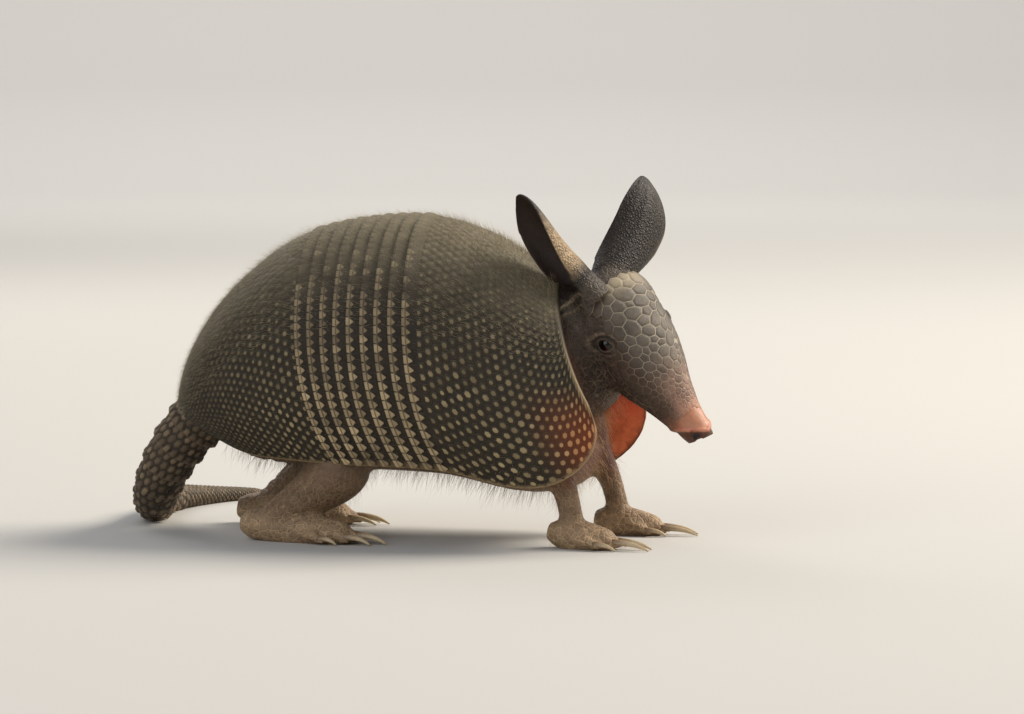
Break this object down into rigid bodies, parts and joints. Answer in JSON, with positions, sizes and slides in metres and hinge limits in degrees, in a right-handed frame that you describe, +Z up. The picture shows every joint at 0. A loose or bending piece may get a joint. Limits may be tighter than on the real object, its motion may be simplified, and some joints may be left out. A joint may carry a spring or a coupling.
{
  "type": "nine-banded armadillo",
  "caption": "Life-size still model of an armadillo walking with lowered head: domed banded shell, scaly head shield, upright ears, ringed tail and clawed feet.",
  "frame": {"origin": "on the floor, under the middle of the whole animal's bounding box", "axes": "+X towards the head, +Y to the animal's left, +Z up"},
  "size_m": [0.3328, 0.2318, 0.1855],
  "materials": {
    "shell": "dull horn-covered bony plates, dark grey-brown with pale scutes",
    "skin": "creased, sparsely haired grey-pink skin",
    "nose": "bare moist pink skin",
    "eye": "glossy near-black",
    "claw": "smooth yellowish horn",
    "tail": "dull bony rings of small scales"
  },
  "bodies": {
    "root": {"band_1": "shell", "band_2": "shell", "band_3": "shell", "band_4": "shell", "band_5": "shell", "band_6": "shell", "band_7": "shell", "band_8": "shell", "claw_front_left_1": "claw", "claw_front_left_2": "claw", "claw_front_left_3": "claw", "claw_front_left_4": "claw", "claw_front_right_1": "claw", "claw_front_right_2": "claw", "claw_front_right_3": "claw", "claw_front_right_4": "claw", "claw_hind_left_1": "claw", "claw_hind_left_2": "claw", "claw_hind_left_3": "claw", "claw_hind_left_4": "claw", "claw_hind_left_5": "claw", "claw_hind_right_1": "claw", "claw_hind_right_2": "claw", "claw_hind_right_3": "claw", "claw_hind_right_4": "claw", "claw_hind_right_5": "claw", "ear_left": "skin", "ear_right": "skin", "eye_left": "eye", "eye_right": "eye", "foot_front_left": "skin", "foot_front_right": "skin", "foot_hind_left": "skin", "foot_hind_right": "skin", "head": "skin", "head_shield": "shell", "leg_front_left": "skin", "leg_front_right": "skin", "leg_hind_left": "skin", "leg_hind_right": "skin", "lower_jaw": "skin", "neck": "skin", "nose_pad": "nose", "pelvic_shield": "shell", "shoulder_shield": "shell", "tail_ring_1": "tail", "tail_ring_10": "tail", "tail_ring_11": "tail", "tail_ring_12": "tail", "tail_ring_2": "tail", "tail_ring_3": "tail", "tail_ring_4": "tail", "tail_ring_5": "tail", "tail_ring_6": "tail", "tail_ring_7": "tail", "tail_ring_8": "tail", "tail_ring_9": "tail", "tail_tip": "tail", "trunk": "skin"}
  },
  "joints": []
}
